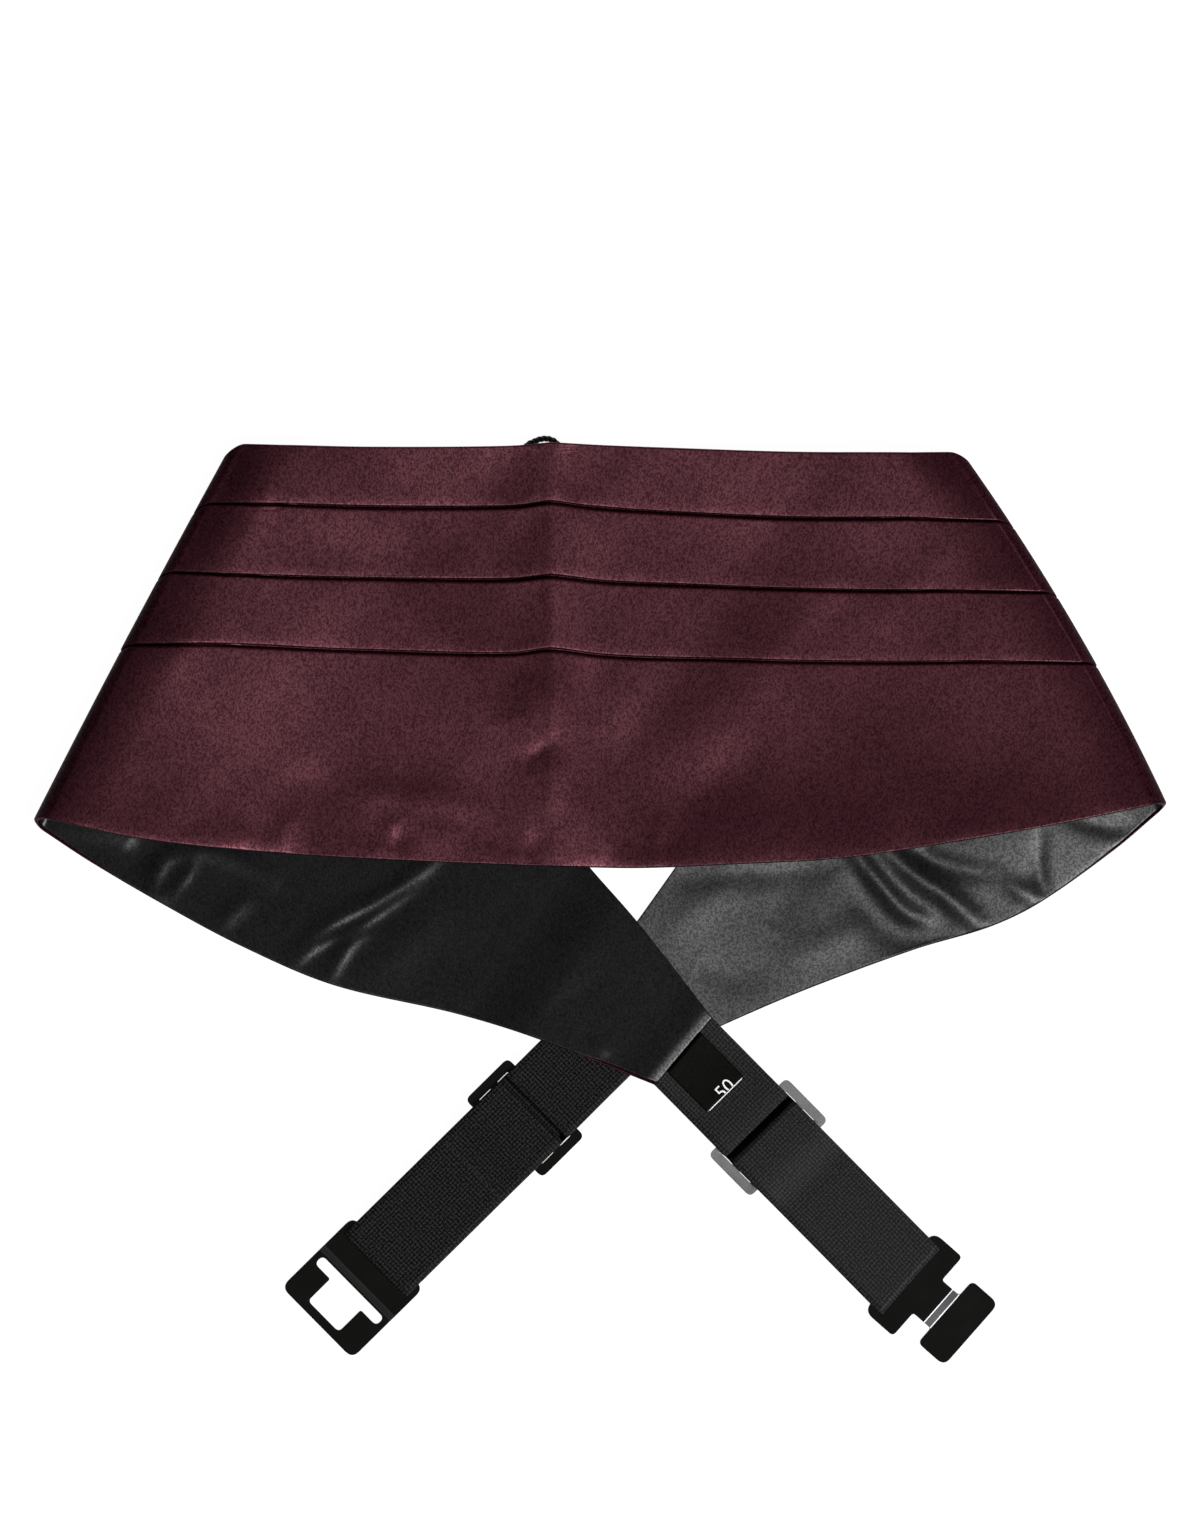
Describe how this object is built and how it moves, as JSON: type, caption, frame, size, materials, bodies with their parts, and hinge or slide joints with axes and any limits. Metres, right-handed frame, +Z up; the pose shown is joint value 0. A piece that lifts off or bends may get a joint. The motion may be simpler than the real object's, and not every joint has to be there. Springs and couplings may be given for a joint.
{
  "type": "cummerbund",
  "caption": "Pleated satin waist sash laid flat with its tapered tails folded under and crossed, on elastic straps with sliders and a hook and eye plate.",
  "frame": {"origin": "on the surface it lies on, below the middle of its bounding box", "axes": "+X along the waist, +Y from the crossed tails to the top edge of the front, +Z up from the surface, out of the pleated face"},
  "size_m": [0.321, 0.2628, 0.0093],
  "materials": {
    "wine_satin": "wine satin, soft sheen",
    "black_lining": "black lining satin, shiny along its creases",
    "black_cord": "black twisted cord",
    "black_elastic": "black woven ribbed elastic",
    "black_metal": "black lacquer over brass-coloured metal",
    "grey_metal": "grey plated steel",
    "label_cloth": "black woven label"
  },
  "bodies": {
    "root": {"pleat_top": "wine_satin", "pleat_second": "wine_satin", "pleat_third": "wine_satin", "lower_panel": "wine_satin", "lining": "black_lining", "button_loop": "black_cord", "elastic_left": "black_elastic", "elastic_right": "black_elastic", "slider_left": "black_metal", "slider_right": "grey_metal", "eye_plate": "black_metal", "hook_plate": "black_metal", "size_label": "label_cloth"}
  },
  "joints": []
}
